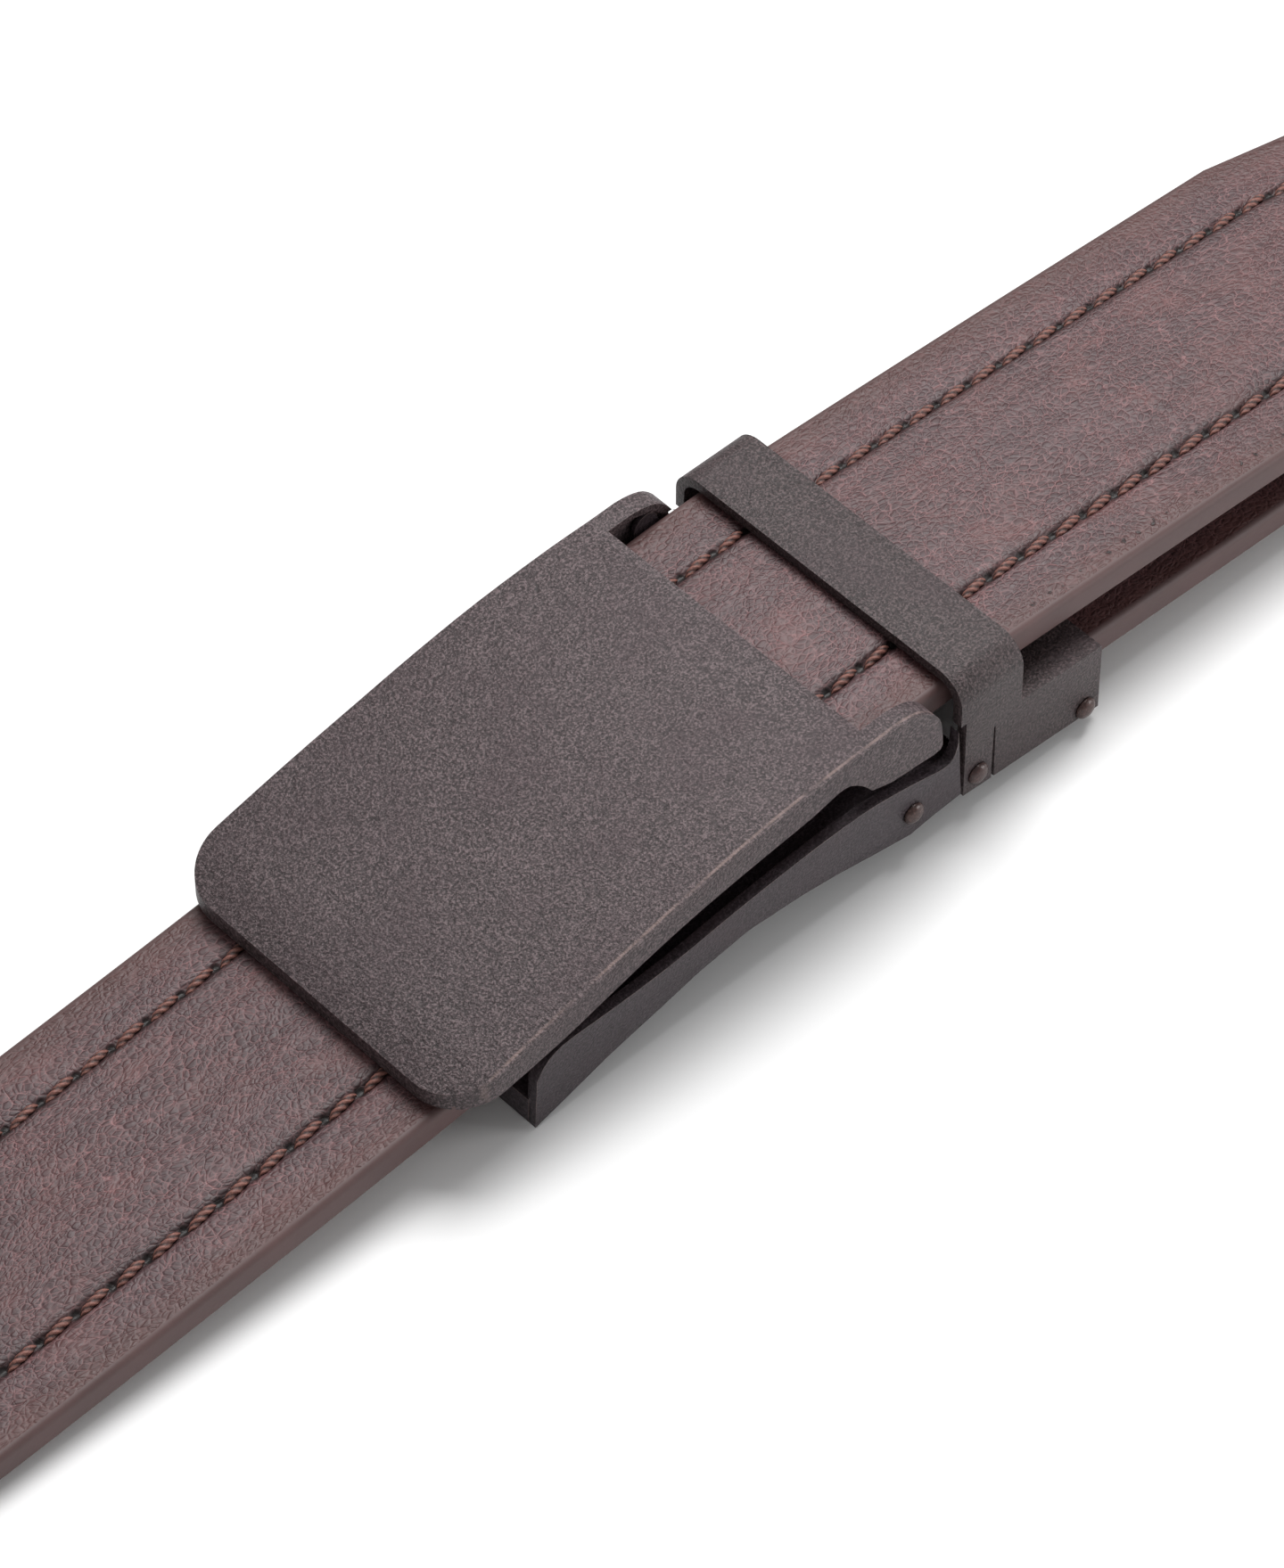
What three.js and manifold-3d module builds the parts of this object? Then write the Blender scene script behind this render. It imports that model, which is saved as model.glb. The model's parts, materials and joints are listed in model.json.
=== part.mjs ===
// A ratchet belt, fastened: one leather strap that runs round and through its buckle, lying with the
// buckle's face up. Millimetres, +Z up. +X runs along the front towards the strap's clamped end and its
// tail, +Y points from the buckle into the loop. The origin is under the middle of the loop, on the floor.
import * as THREE from "three";
import { mergeVertices } from "three/addons/utils/BufferGeometryUtils.js";
import Module from "manifold-3d";

const wasm = await Module();
wasm.setup();

// Driving dimensions

const clearance = 0.3; // between neighbouring pieces
const strapWidth = 35;
const strapThickness = 3.8;
const strapEdgeBevel = 0.5;
const frontRun = 380; // straight front of the loop, twists included
const twistLength = 65; // over which the strap turns from lying flat to standing on its edge
const cornerRadius = 40; // of the standing bend at each end of the front
const cornerTurn = 135; // degrees that each of those bends turns
const tailTip = 132; // x of the tail's end
const tailTaper = 48; // length over which the tail narrows to its rounded tip
const tailTipHalfWidth = 5; // half the width at the very end
const clampedEnd = 20; // x of the strap's other end, in the clamp

// Height of the strap's underside over the floor, layer by layer
const tailRise = [
  { x: -125, underside: 0.5 },
  { x: -107, underside: 1.0 },
  { x: -82, underside: 2.6 },
  { x: -53, underside: 4.9 },
  { x: -44, underside: 6.3 },
  { x: -30, underside: 8.8 },
  { x: -17, underside: 11.1 },
  { x: 0, underside: 13.6 },
  { x: 12, underside: 14.1 },
  { x: 22, underside: 13.9 },
  { x: 50, underside: 12.3 },
  { x: 78, underside: 10.4 },
  { x: 110, underside: 8.2 },
  { x: 132, underside: 6.7 },
];
const clampedRise = [
  { x: 20, underside: 5.2 },
  { x: 31, underside: 4.8 },
  { x: 78, underside: 2.6 },
  { x: 125, underside: 0.5 },
];

const sheet = 1.2; // stamped steel of the frame, keeper and clamp
const sideRoom = 1.5; // between the strap's edge and the frame's side wall
const frameHalfWidth = strapWidth / 2 + sideRoom + sheet; // to the outside of its side walls
const plateSheet = 1.8; // thickness of the cover plate's face
const flangeSheet = 1.4; // thickness of its side flanges and ears
const plateLeftHalfWidth = frameHalfWidth + clearance;
const plateSetIn = 0.2; // of the ears from the frame's outer face
const plateRightHalfWidth = frameHalfWidth - plateSetIn;
const plateLeft = -55;
const plateOpening = 0; // x where the plate ends and the strap shows
const plateCornerRadius = 6;
const endWallHeight = 1.9; // of the edge turned down at the plate's left end

// Outer face of the cover plate, seen from the side
const plateTop = [
  { x: -55, z: 10.6 },
  { x: -50, z: 12.2 },
  { x: -40, z: 14.7 },
  { x: -31, z: 16.6 },
  { x: -23, z: 18.2 },
  { x: -15, z: 19.4 },
  { x: -6, z: 20.1 },
  { x: 0, z: 20.2 },
];
// Lower edge of its flanges, with the notch in front of each ear
const flangeBottom = [
  { x: -55, z: 8.7 },
  { x: -49, z: 9.4 },
  { x: -41, z: 10.7 },
  { x: -31, z: 13.2 },
  { x: -23, z: 14.7 },
  { x: -15, z: 15.6 },
  { x: -8.5, z: 16.2 },
  { x: -5.2, z: 16.9 },
  { x: -3.4, z: 16.7 },
  { x: -1.6, z: 15.2 },
  { x: -0.4, z: 13.6 },
];
// Outline of an ear from there round to the plate's top
const earOutline = [
  { x: 2.2, z: 12.7 },
  { x: 6.0, z: 12.4 },
  { x: 8.9, z: 12.3 },
  { x: 9.1, z: 14.4 },
  { x: 8.6, z: 17.0 },
  { x: 6.9, z: 19.1 },
  { x: 4.9, z: 20.0 },
  { x: 3.0, z: 20.3 },
];
const earEnd = 9.1;
const earRim = { width: 2.3, thickness: 1.0, overlap: 0.6 }; // thicker along an ear's top

const pivot = { x: 5.2, z: 17.0 }; // on which the cover plate lifts
const pivotRadius = 1.1;
const pivotSkin = 0.35; // left of the ear over the stud's end
const tabRadius = 1.6; // of the rounded tab round the stud
const tabFoot = 8.4; // height at which the tab leaves the bed

// Side walls of the frame
const wallTop = [
  { x: -44.5, z: 6.7 },
  { x: -43.6, z: 8.2 },
  { x: -42.2, z: 9.2 },
  { x: -40.0, z: 9.6 },
  { x: -34, z: 9.5 },
  { x: -27, z: 9.7 },
  { x: -19, z: 10.6 },
  { x: -10, z: 11.3 },
  { x: -2, z: 11.4 },
  { x: 4, z: 10.5 },
  { x: 7, z: 9.8 },
  { x: 9.3, z: 9.3 },
  { x: 10.6, z: 9.8 },
  { x: 11.2, z: 11.4 },
];
const wallPeak = { x: 11.2, z: 13.2 }; // of the post beside the keeper's leg
const wallBottom = [
  { x: 11.9, z: 3.4 },
  { x: 8.2, z: 3.2 },
  { x: 5, z: 2.8 },
  { x: 1, z: 3.6 },
  { x: -5, z: 4.9 },
  { x: -10, z: 5.7 },
  { x: -17, z: 6.3 },
  { x: -23.4, z: 5.5 },
  { x: -29.5, z: 4.1 },
  { x: -35, z: 2.9 },
  { x: -44.8, z: 0 },
];
const lip = { bottom: 0, slant: 0.4 }; // bent down at the bed's left end, flush with the walls
// Top of the bed that the strap's ratchet runs over
const bedTop = [
  { x: -44.8, z: 3.4 },
  { x: -31, z: 6.4 },
  { x: -17, z: 8.9 },
  { x: 0, z: 10.4 },
  { x: 5, z: 9.8 },
  { x: 11, z: 8.8 },
];
const bedWindow = { x0: -16, x1: 8.4, halfWidth: 7 }; // where the pawl reaches through
// Lugs beside the keeper's pin
const lugOutline = [
  { x: 8.0, z: 3.6 },
  { x: 15.6, z: 3.4 },
  { x: 15.6, z: 6.6 },
  { x: 11.0, z: 8.6 },
  { x: 8.0, z: 9.0 },
];

const keeperLeft = 11.5;
const keeperRight = 19.9;
const keeperTop = 19.3;
const keeperBend = 3.2; // outer radius of its two top bends
const clampRight = 31.2;
const legLeft = 12.25; // x of the riveted tab's left side, lower than the bar's
const legNotch = 13.6; // height from which the leg is as wide as the bar
const clampRoof = 11.1;
const clampRoofEnd = 10.4; // the roof and walls fall a little towards their open end
const clampBottom = 2.8;
const clampBottomEnd = 1.4;
const reliefSlit = { x: 16.3, width: 0.45, top: 10.0 }; // between the riveted tab and the clamp

const pinRadius = 0.9;
const headRadius = 1.25;
const headHeight = 0.7;
const framePin = { x: 5.2, z: 6.0 };
const keeperPin = { x: 14.1, z: 4.9 };
const clampPin = { x: 29.2, z: 2.75 };

const trackWidth = 9;
const trackThickness = 0.5; // of the strip between its teeth
const toothHeight = 0.6;
const toothPitch = 6;
const trackStart = -104;
const trackEnd = 112;

const pawlHalfWidth = 5.5;
// The pawl from its tooth back to the pin, seen from the side
const pawlOutline = [
  { x: -12.0, z: 7.6 },
  { x: -14.2, z: 9.0 },
  { x: -13.6, z: 10.6 },
  { x: -11.5, z: 9.4 },
];
const jawHalfWidth = strapWidth / 2 - 1.5;
const jawLength = 8.4;
const jawTooth = { pitch: 2, length: 1.6, depth: 0.5 };
const barrelWall = 0.9; // of the pawl's and the jaw's barrels round their pins

// Finishes

const leather = new THREE.MeshStandardMaterial({ color: 0x5a4240, roughness: 0.62, metalness: 0 });
const coat = new THREE.MeshStandardMaterial({ color: 0x4c4241, roughness: 0.55, metalness: 0.35 });
const rivet = new THREE.MeshStandardMaterial({ color: 0x543a35, roughness: 0.4, metalness: 0.5 });
const plastic = new THREE.MeshStandardMaterial({ color: 0x1d1a19, roughness: 0.5, metalness: 0 });

// Solids and booleans

function solid(geometry) {
  const plain = geometry.index ? geometry.toNonIndexed() : geometry.clone();
  plain.deleteAttribute("normal");
  plain.deleteAttribute("uv");
  const merged = mergeVertices(plain, 1e-4);
  return new wasm.Manifold(
    new wasm.Mesh({
      numProp: 3,
      vertProperties: new Float32Array(merged.attributes.position.array),
      triVerts: new Uint32Array(merged.index.array),
    }),
  );
}

function named(name, body, material) {
  const mesh = body.getMesh();
  const geometry = new THREE.BufferGeometry();
  geometry.setAttribute("position", new THREE.BufferAttribute(mesh.vertProperties, 3));
  geometry.setIndex(new THREE.BufferAttribute(mesh.triVerts, 1));
  geometry.computeVertexNormals();
  const made = new THREE.Mesh(geometry, material);
  made.name = name;
  return made;
}

// A closed outline in X and Z, extruded from y0 to y1.
function slab(outline, y0, y1) {
  const shape = new THREE.Shape(outline.map((p) => new THREE.Vector2(p.x, p.z)));
  const geometry = new THREE.ExtrudeGeometry(shape, { depth: y1 - y0, bevelEnabled: false });
  geometry.rotateX(Math.PI / 2);
  geometry.translate(0, y1, 0);
  return solid(geometry);
}

// The same slab and its mirror image on the other side of the belt.
function pair(outline, y0, y1) {
  return slab(outline, y0, y1).add(slab(outline, -y1, -y0));
}

function block(x0, x1, y0, y1, z0, z1) {
  const geometry = new THREE.BoxGeometry(x1 - x0, y1 - y0, z1 - z0);
  geometry.translate((x0 + x1) / 2, (y0 + y1) / 2, (z0 + z1) / 2);
  return solid(geometry);
}

function rod(x, z, radius, y0, y1, sides = 20) {
  const geometry = new THREE.CylinderGeometry(radius, radius, y1 - y0, sides);
  geometry.translate(x, (y0 + y1) / 2, z);
  return solid(geometry);
}

// Smooth curve through a table of x and z.
function curveThrough(rows, steps = 5) {
  const curve = new THREE.SplineCurve(rows.map((r) => new THREE.Vector2(r.x, r.z)));
  return curve.getPoints(steps * (rows.length - 1)).map((p) => ({ x: p.x, z: p.y }));
}

function heightAt(rows, x) {
  const i = Math.max(1, rows.findIndex((r) => r.x >= x));
  const [a, b] = rows[rows.length - 1].x < x ? rows.slice(-2) : [rows[i - 1], rows[i]];
  return a.z + ((b.z - a.z) * (x - a.x)) / (b.x - a.x);
}

// The strap's route

const half = strapWidth / 2;
const frontEnd = frontRun / 2;
const twistStart = frontEnd - twistLength;
const turn = THREE.MathUtils.degToRad(cornerTurn);
const backRadius = cornerRadius + frontEnd / Math.sin(turn);
const backCentreY = cornerRadius + (backRadius - cornerRadius) * Math.cos(turn);
const loopDepth = backCentreY + backRadius;
const tailCurve = curveThrough(tailRise.map((r) => ({ x: r.x, z: r.underside })), 16);
const clampedCurve = curveThrough(clampedRise.map((r) => ({ x: r.x, z: r.underside })));

const headSeat = frameHalfWidth + clearance / 3; // inner side of the pins' heads

const smooth = (u) => u * u * (3 - 2 * u);

// Centre, heading and roll of the strap on the straight front, where rows give its underside.
function frontStation(x, rows) {
  const share = THREE.MathUtils.clamp((Math.abs(x) - twistStart) / twistLength, 0, 1);
  const roll = smooth(share) * (Math.PI / 2);
  const flat = heightAt(rows, THREE.MathUtils.clamp(x, rows[0].x, rows[rows.length - 1].x));
  const lift = half * Math.sin(roll) + (strapThickness / 2) * Math.cos(roll);
  return { x, y: 0, z: flat * (1 - smooth(share)) + lift, heading: 0, roll };
}

function arcStation(centreX, centreY, radius, heading) {
  return {
    x: centreX + radius * Math.sin(heading),
    y: centreY - radius * Math.cos(heading),
    z: half,
    heading,
    roll: Math.PI / 2,
  };
}

function evenly(from, to, count, make) {
  return Array.from({ length: count }, (_, i) => make(from + ((to - from) * (i + 1)) / count));
}

function strapRoute() {
  const clampedRun = evenly(clampedEnd, twistStart, 16, (x) => frontStation(x, clampedCurve));
  const rightTwist = evenly(twistStart, frontEnd, 12, (x) => frontStation(x, clampedCurve));
  const rightCorner = evenly(0, turn, 14, (a) => arcStation(frontEnd, cornerRadius, cornerRadius, a));
  const back = evenly(turn, 2 * Math.PI - turn, 26, (a) => arcStation(0, backCentreY, backRadius, a));
  const leftCorner = evenly(2 * Math.PI - turn, 2 * Math.PI, 14, (a) =>
    arcStation(-frontEnd, cornerRadius, cornerRadius, a),
  );
  const leftTwist = evenly(-frontEnd, -twistStart, 12, (x) => frontStation(x, tailCurve));
  const tailRun = evenly(-twistStart, tailTip - tailTaper, 44, (x) => frontStation(x, tailCurve));
  const tip = evenly(0, 1, 12, (u) => {
    const station = frontStation(tailTip - tailTaper * (1 - Math.sin((u * Math.PI) / 2)), tailCurve);
    return { ...station, halfWidth: tailHalfWidth(station.x) };
  });
  return [
    frontStation(clampedEnd, clampedCurve),
    ...clampedRun,
    ...rightTwist,
    ...rightCorner,
    ...back,
    ...leftCorner,
    ...leftTwist,
    ...tailRun,
    ...tip,
  ];
}

// Half the strap's width at x on the tail: straight sides that narrow to a rounded tip.
function tailHalfWidth(x) {
  const u = (x - (tailTip - tailTaper)) / tailTaper;
  if (u <= 0) return half;
  const straight = half - (half - tailTipHalfWidth) * 0.62 * u;
  const round = Math.sqrt(Math.max(0, 1 - Math.max(0, (u - 0.72) / 0.28) ** 2));
  return Math.max(tailTipHalfWidth * 0.4, straight * (0.25 + 0.75 * round));
}

function strapSection(halfWidth) {
  const t = strapThickness / 2;
  const b = strapEdgeBevel;
  return [
    [-halfWidth + b, -t],
    [halfWidth - b, -t],
    [halfWidth, -t + b],
    [halfWidth, t - b],
    [halfWidth - b, t],
    [-halfWidth + b, t],
    [-halfWidth, t - b],
    [-halfWidth, -t + b],
  ];
}

function makeStrap() {
  const route = strapRoute();
  const positions = [];
  route.forEach((s, i) => {
    const before = route[Math.max(0, i - 1)];
    const after = route[Math.min(route.length - 1, i + 1)];
    const slope = Math.atan2(after.z - before.z, Math.hypot(after.x - before.x, after.y - before.y));
    const pitch = s.roll === 0 ? slope : 0;
    const along = new THREE.Vector3(Math.cos(s.heading), Math.sin(s.heading), 0);
    const outward = new THREE.Vector3(Math.sin(s.heading), -Math.cos(s.heading), 0);
    const normal = new THREE.Vector3(0, 0, Math.cos(s.roll)).addScaledVector(outward, Math.sin(s.roll));
    const across = new THREE.Vector3().crossVectors(normal, along);
    normal.addScaledVector(along, -Math.tan(pitch));
    for (const [a, n] of strapSection(s.halfWidth ?? half)) {
      const p = new THREE.Vector3(s.x, s.y, s.z).addScaledVector(across, a).addScaledVector(normal, n);
      positions.push(p.x, p.y, p.z);
    }
  });
  const sides = 8;
  const faces = [];
  for (let i = 0; i + 1 < route.length; i++) {
    for (let k = 0; k < sides; k++) {
      const a = i * sides + k;
      const b = i * sides + ((k + 1) % sides);
      faces.push(a, b, a + sides, b, b + sides, a + sides);
    }
  }
  const last = (route.length - 1) * sides;
  for (let k = 1; k + 1 < sides; k++) {
    faces.push(0, k + 1, k, last, last + k, last + k + 1);
  }
  const geometry = new THREE.BufferGeometry();
  geometry.setAttribute("position", new THREE.Float32BufferAttribute(positions, 3));
  geometry.setIndex(faces);
  return solid(geometry);
}

// The ratchet strip on the tail's underside: a saw-toothed outline as wide as trackWidth.
function makeTrack() {
  const outline = [];
  const seat = (x) => heightAt(tailCurve, x) - clearance;
  const teeth = Math.floor((trackEnd - trackStart) / toothPitch);
  for (let i = 0; i <= teeth; i++) {
    const x = trackStart + i * toothPitch;
    outline.push({ x, z: seat(x) });
  }
  for (let i = teeth; i > 0; i--) {
    const x = trackStart + i * toothPitch;
    outline.push({ x, z: seat(x) - trackThickness });
    outline.push({ x: x - toothPitch * 0.3, z: seat(x) - trackThickness - toothHeight });
  }
  outline.push({ x: trackStart, z: seat(trackStart) - trackThickness });
  return slab(outline, -trackWidth / 2, trackWidth / 2);
}

// The buckle

function makeCoverPlate() {
  const top = curveThrough(plateTop, 3);
  const face = [...top, ...top.map((p) => ({ x: p.x, z: p.z - plateSheet })).reverse()].reverse();
  const lower = curveThrough(flangeBottom, 2);
  const ear = [...lower, ...curveThrough(earOutline, 3), ...top.slice().reverse()];
  const inner = plateRightHalfWidth - flangeSheet;
  let plate = slab(face, -plateLeftHalfWidth, plateLeftHalfWidth).add(
    pair(ear, inner, plateLeftHalfWidth),
  );
  // Rim along the top of each ear, over the frame's tab and clear of it as the plate lifts
  const plateEnd = plateTop[plateTop.length - 1].z;
  const rim = curveThrough(earOutline, 3).filter((p) => p.z >= pivot.z).reverse();
  const within = rim.map((p) => {
    const reach = Math.hypot(p.x - pivot.x, p.z - pivot.z);
    const share = 1 - earRim.thickness / reach;
    return { x: pivot.x + (p.x - pivot.x) * share, z: pivot.z + (p.z - pivot.z) * share };
  });
  const start = plateOpening - earRim.overlap;
  const rimOutline = [
    { x: start, z: plateEnd - earRim.thickness },
    ...within,
    ...rim.slice().reverse(),
    { x: start, z: plateEnd },
  ];
  plate = plate.add(pair(rimOutline, plateRightHalfWidth - earRim.width, plateRightHalfWidth));
  // The left end turns down as the sides do
  const endTop = plateTop[0].z - plateSheet / 2;
  const endWall = [
    { x: plateLeft, z: plateTop[0].z - endWallHeight },
    { x: plateLeft + flangeSheet, z: heightAt(flangeBottom, plateLeft + flangeSheet) },
    { x: plateLeft + flangeSheet, z: endTop },
    { x: plateLeft, z: endTop },
  ];
  plate = plate.add(slab(endWall, -plateLeftHalfWidth, plateLeftHalfWidth));
  const outline = new THREE.Shape();
  const [xa, xb, ya, yb] = [plateLeft, earEnd + 1, plateLeftHalfWidth, plateRightHalfWidth];
  const r = plateCornerRadius;
  outline.moveTo(xa + r, -ya);
  outline.lineTo(plateOpening, -yb);
  outline.lineTo(xb, -yb);
  outline.lineTo(xb, yb);
  outline.lineTo(plateOpening, yb);
  outline.lineTo(xa + r, ya);
  outline.absarc(xa + r, ya - r, r, Math.PI / 2, Math.PI, false);
  outline.absarc(xa + r, -ya + r, r, Math.PI, 1.5 * Math.PI, false);
  const plan = new THREE.ExtrudeGeometry(outline, {
    depth: keeperTop * 2,
    bevelEnabled: false,
    curveSegments: 8,
  });
  plate = plate.intersect(solid(plan));
  const hole = plateRightHalfWidth - pivotSkin;
  for (const [y0, y1] of [[inner - sheet, hole], [-hole, -inner + sheet]]) {
    plate = plate.subtract(rod(pivot.x, pivot.z, pivotRadius + clearance, y0, y1));
  }
  return plate;
}

function makeBaseFrame() {
  const outer = frameHalfWidth;
  const inner = frameHalfWidth - sheet;
  const joined = sheet / 6; // how far one wall runs into the next, so that they are one sheet
  const top = curveThrough(wallTop, 3);
  const wall = [...wallBottom.slice().reverse(), wallPeak, ...top.slice().reverse()];
  let frame = pair(wall, inner, outer);
  const bed = curveThrough(bedTop, 4);
  const floor = [...bed.map((p) => ({ x: p.x, z: p.z - sheet })), ...bed.slice().reverse()];
  frame = frame.add(slab(floor, -inner - joined, inner + joined));
  const left = bedTop[0];
  const lipOutline = [
    { x: left.x, z: lip.bottom },
    { x: left.x + sheet, z: lip.bottom },
    { x: left.x + sheet + lip.slant, z: left.z },
    { x: left.x, z: left.z },
  ];
  frame = frame.add(slab(lipOutline, -inner - joined, inner + joined));
  const { x0, x1, halfWidth } = bedWindow;
  frame = frame.subtract(block(x0, x1, -halfWidth, halfWidth, 0, pivot.z));
  // Tabs inside the ears, with the studs that the cover plate lifts on
  const tabIn = half + clearance;
  const tabOut = plateRightHalfWidth - flangeSheet - clearance;
  const tab = [
    { x: pivot.x - tabRadius, z: tabFoot },
    { x: pivot.x + tabRadius, z: tabFoot },
    { x: pivot.x + tabRadius, z: pivot.z },
    ...Array.from({ length: 7 }, (_, i) => ({
      x: pivot.x + tabRadius * Math.cos(((i + 1) * Math.PI) / 8),
      z: pivot.z + tabRadius * Math.sin(((i + 1) * Math.PI) / 8),
    })),
    { x: pivot.x - tabRadius, z: pivot.z },
  ];
  frame = frame.add(pair(tab, tabIn, tabOut));
  const [footLeft, footRight] = [tab[0].x, tab[1].x];
  frame = frame
    .add(block(footLeft, footRight, tabIn, inner + joined, tabFoot, tabFoot + sheet))
    .add(block(footLeft, footRight, -inner - joined, -tabIn, tabFoot, tabFoot + sheet));
  const studEnd = plateRightHalfWidth - pivotSkin - clearance;
  frame = frame
    .add(rod(pivot.x, pivot.z, pivotRadius, tabIn + joined, studEnd))
    .add(rod(pivot.x, pivot.z, pivotRadius, -studEnd, -tabIn - joined));
  // Lugs inside the keeper's legs, held by the keeper's pin
  const lugOut = inner - clearance;
  const root = [lugOutline[0], { ...lugOutline[3], z: lugOutline[0].z }, lugOutline[3], lugOutline[4]];
  frame = frame.add(pair(lugOutline, lugOut - sheet, lugOut));
  frame = frame.add(pair(root, lugOut - joined, inner + joined));
  for (const pin of [framePin, keeperPin]) {
    frame = frame.subtract(rod(pin.x, pin.z, pinRadius + clearance, -outer - sheet, outer + sheet));
  }
  return frame;
}

function makeKeeperClamp() {
  const outer = frameHalfWidth;
  const inner = frameHalfWidth - sheet;
  const arch = (reach, height, bend) => {
    const shape = new THREE.Shape();
    shape.moveTo(-reach, 0);
    shape.lineTo(-reach, height - bend);
    shape.absarc(-reach + bend, height - bend, bend, Math.PI, Math.PI / 2, true);
    shape.absarc(reach - bend, height - bend, bend, Math.PI / 2, 0, true);
    shape.lineTo(reach, 0);
    return shape;
  };
  const across = (shape, x0, x1) => {
    const geometry = new THREE.ExtrudeGeometry(shape, { depth: x1 - x0, bevelEnabled: false, curveSegments: 6 });
    geometry.rotateX(Math.PI / 2);
    geometry.rotateZ(Math.PI / 2);
    geometry.translate(x0, 0, 0);
    return solid(geometry);
  };
  const bar = across(arch(outer, keeperTop, keeperBend), keeperLeft, keeperRight).subtract(
    across(arch(inner, keeperTop - sheet, keeperBend - sheet), keeperLeft - sheet, keeperRight + sheet),
  );
  // Legs down to the riveted tab and on as the clamp's walls
  const wall = [
    { x: legLeft, z: clampBottom },
    { x: clampRight, z: clampBottomEnd },
    { x: clampRight, z: clampRoofEnd },
    { x: keeperRight, z: clampRoof },
    { x: legLeft, z: clampRoof },
  ];
  const roof = [
    { x: keeperRight - sheet, z: clampRoof - sheet },
    { x: clampRight, z: clampRoofEnd - sheet },
    { x: clampRight, z: clampRoofEnd },
    { x: keeperRight - sheet, z: clampRoof },
  ];
  const joined = sheet / 6;
  let made = bar.add(pair(wall, inner, outer)).add(slab(roof, -inner - joined, inner + joined));
  made = made.subtract(block(0, legLeft, -outer - sheet, outer + sheet, -sheet, legNotch));
  const below = [
    { x: 0, z: -sheet },
    { x: clampRight + sheet, z: -sheet },
    { x: clampRight + sheet, z: clampBottomEnd },
    { x: clampRight, z: clampBottomEnd },
    { x: legLeft, z: clampBottom },
    { x: 0, z: clampBottom },
  ];
  made = made.subtract(slab(below, -outer - sheet, outer + sheet));
  const { x, width, top } = reliefSlit;
  const slit = [
    { x: x - width / 2, z: 0 },
    { x: x + width / 2, z: 0 },
    { x: x + width / 4, z: top },
    { x: x - width / 4, z: top },
  ];
  made = made.subtract(slab(slit, -outer - sheet, outer + sheet));
  for (const pin of [keeperPin, clampPin]) {
    made = made.subtract(rod(pin.x, pin.z, pinRadius + clearance, -outer - sheet, outer + sheet));
  }
  return made;
}

// A pin right across the buckle with a domed head on each end.
function makePin(pin) {
  const seat = headSeat;
  const profile = [new THREE.Vector2(0, -seat - headHeight)];
  const dome = (sign) =>
    Array.from({ length: 5 }, (_, i) => {
      const a = (i / 4) * (Math.PI / 2);
      return new THREE.Vector2(headRadius * Math.sin(a), sign * (seat + headHeight * Math.cos(a)));
    });
  profile.push(...dome(-1).slice(1));
  profile.push(new THREE.Vector2(pinRadius, -seat), new THREE.Vector2(pinRadius, seat));
  profile.push(...dome(1).slice(1).reverse());
  profile.push(new THREE.Vector2(0, seat + headHeight));
  const geometry = new THREE.LatheGeometry(profile, 16);
  geometry.translate(pin.x, 0, pin.z);
  return solid(geometry);
}

// The pawl that holds the ratchet, on the frame's pin.
function makePawl() {
  const { x, z } = framePin;
  const barrel = pinRadius + clearance + barrelWall;
  const outline = [...pawlOutline, { x: x + pinRadius, z: z + pinRadius }, { x, z: z - pinRadius }];
  return slab(outline, -pawlHalfWidth, pawlHalfWidth)
    .add(rod(x, z, barrel, -pawlHalfWidth, pawlHalfWidth))
    .subtract(rod(x, z, pinRadius + clearance, -pawlHalfWidth - sheet, pawlHalfWidth + sheet));
}

// The jaw that bites the strap's fixed end against the clamp's roof.
function makeClampJaw() {
  const { x, z } = clampPin;
  const { pitch, length, depth } = jawTooth;
  const bite = (at) => heightAt(clampedCurve, at) - clearance;
  const outline = [
    { x: x - jawLength, z: z + pinRadius },
    { x: x + depth, z: z + pinRadius },
  ];
  for (let from = x - depth; from - length > x - jawLength; from -= pitch) {
    outline.push({ x: from, z: bite(from) });
    outline.push({ x: from - length, z: bite(from) - depth });
  }
  outline.push({ x: x - jawLength, z: bite(x - jawLength) });
  const barrel = pinRadius + clearance + barrelWall * 0.6;
  return slab(outline, -jawHalfWidth, jawHalfWidth)
    .add(rod(x, z, barrel, -jawHalfWidth, jawHalfWidth))
    .subtract(rod(x, z, pinRadius + clearance, -jawHalfWidth - sheet, jawHalfWidth + sheet));
}

// Assembly

const belt = new THREE.Group();
belt.name = "ratchet_belt";
belt.position.set(0, -(loopDepth + strapThickness / 2 - headSeat - headHeight) / 2, 0);
belt.add(named("strap", makeStrap(), leather));
belt.add(named("ratchet_track", makeTrack(), plastic));
belt.add(named("cover_plate", makeCoverPlate(), coat));
belt.add(named("base_frame", makeBaseFrame(), coat));
belt.add(named("keeper_clamp", makeKeeperClamp(), coat));
belt.add(named("frame_pin", makePin(framePin), rivet));
belt.add(named("keeper_pin", makePin(keeperPin), rivet));
belt.add(named("clamp_pin", makePin(clampPin), rivet));
belt.add(named("pawl", makePawl(), coat));
belt.add(named("clamp_jaw", makeClampJaw(), coat));

const model = new THREE.Group();
model.add(belt);
export default model;
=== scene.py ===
"""Dresses a fastened ratchet belt: strap, stitching, buckle, keeper and pins, on a white studio floor."""

from __future__ import annotations

import json
import logging
import math
from dataclasses import dataclass, field
from enum import Enum, IntEnum
from typing import Callable, NamedTuple

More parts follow.
